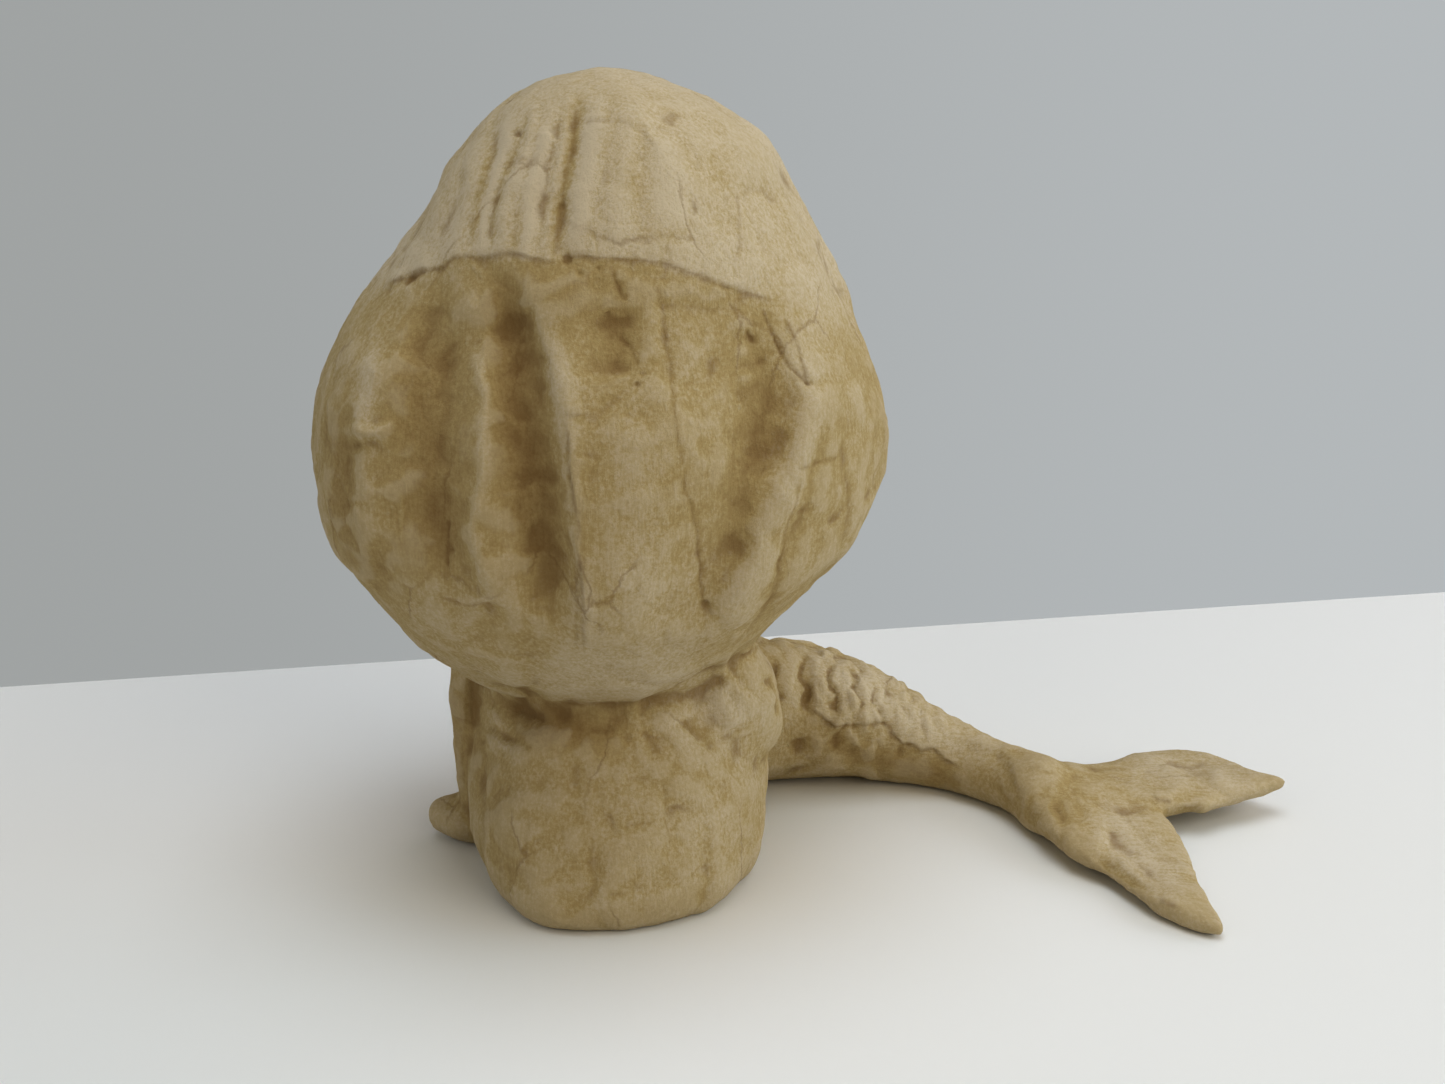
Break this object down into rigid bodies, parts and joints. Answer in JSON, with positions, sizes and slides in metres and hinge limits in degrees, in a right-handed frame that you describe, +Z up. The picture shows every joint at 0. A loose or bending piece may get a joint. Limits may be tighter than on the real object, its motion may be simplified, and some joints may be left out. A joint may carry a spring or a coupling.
{
  "type": "papier-mache mermaid figure",
  "caption": "Seated mermaid with a great rounded head of hair, her tail swept round to one side and forked flukes, moulded in bare kraft papier-mache.",
  "frame": {"origin": "middle of her flat seat, on the surface she sits on", "axes": "+Z up, +Y the way she faces, +X her right side, where the tail is swept to"},
  "size_m": [0.2669, 0.133, 0.212],
  "materials": {
    "kraft_paper": "bare brown kraft paper, torn strips pasted over one another, matt"
  },
  "bodies": {
    "root": {"mermaid_figure": "kraft_paper"}
  },
  "joints": []
}
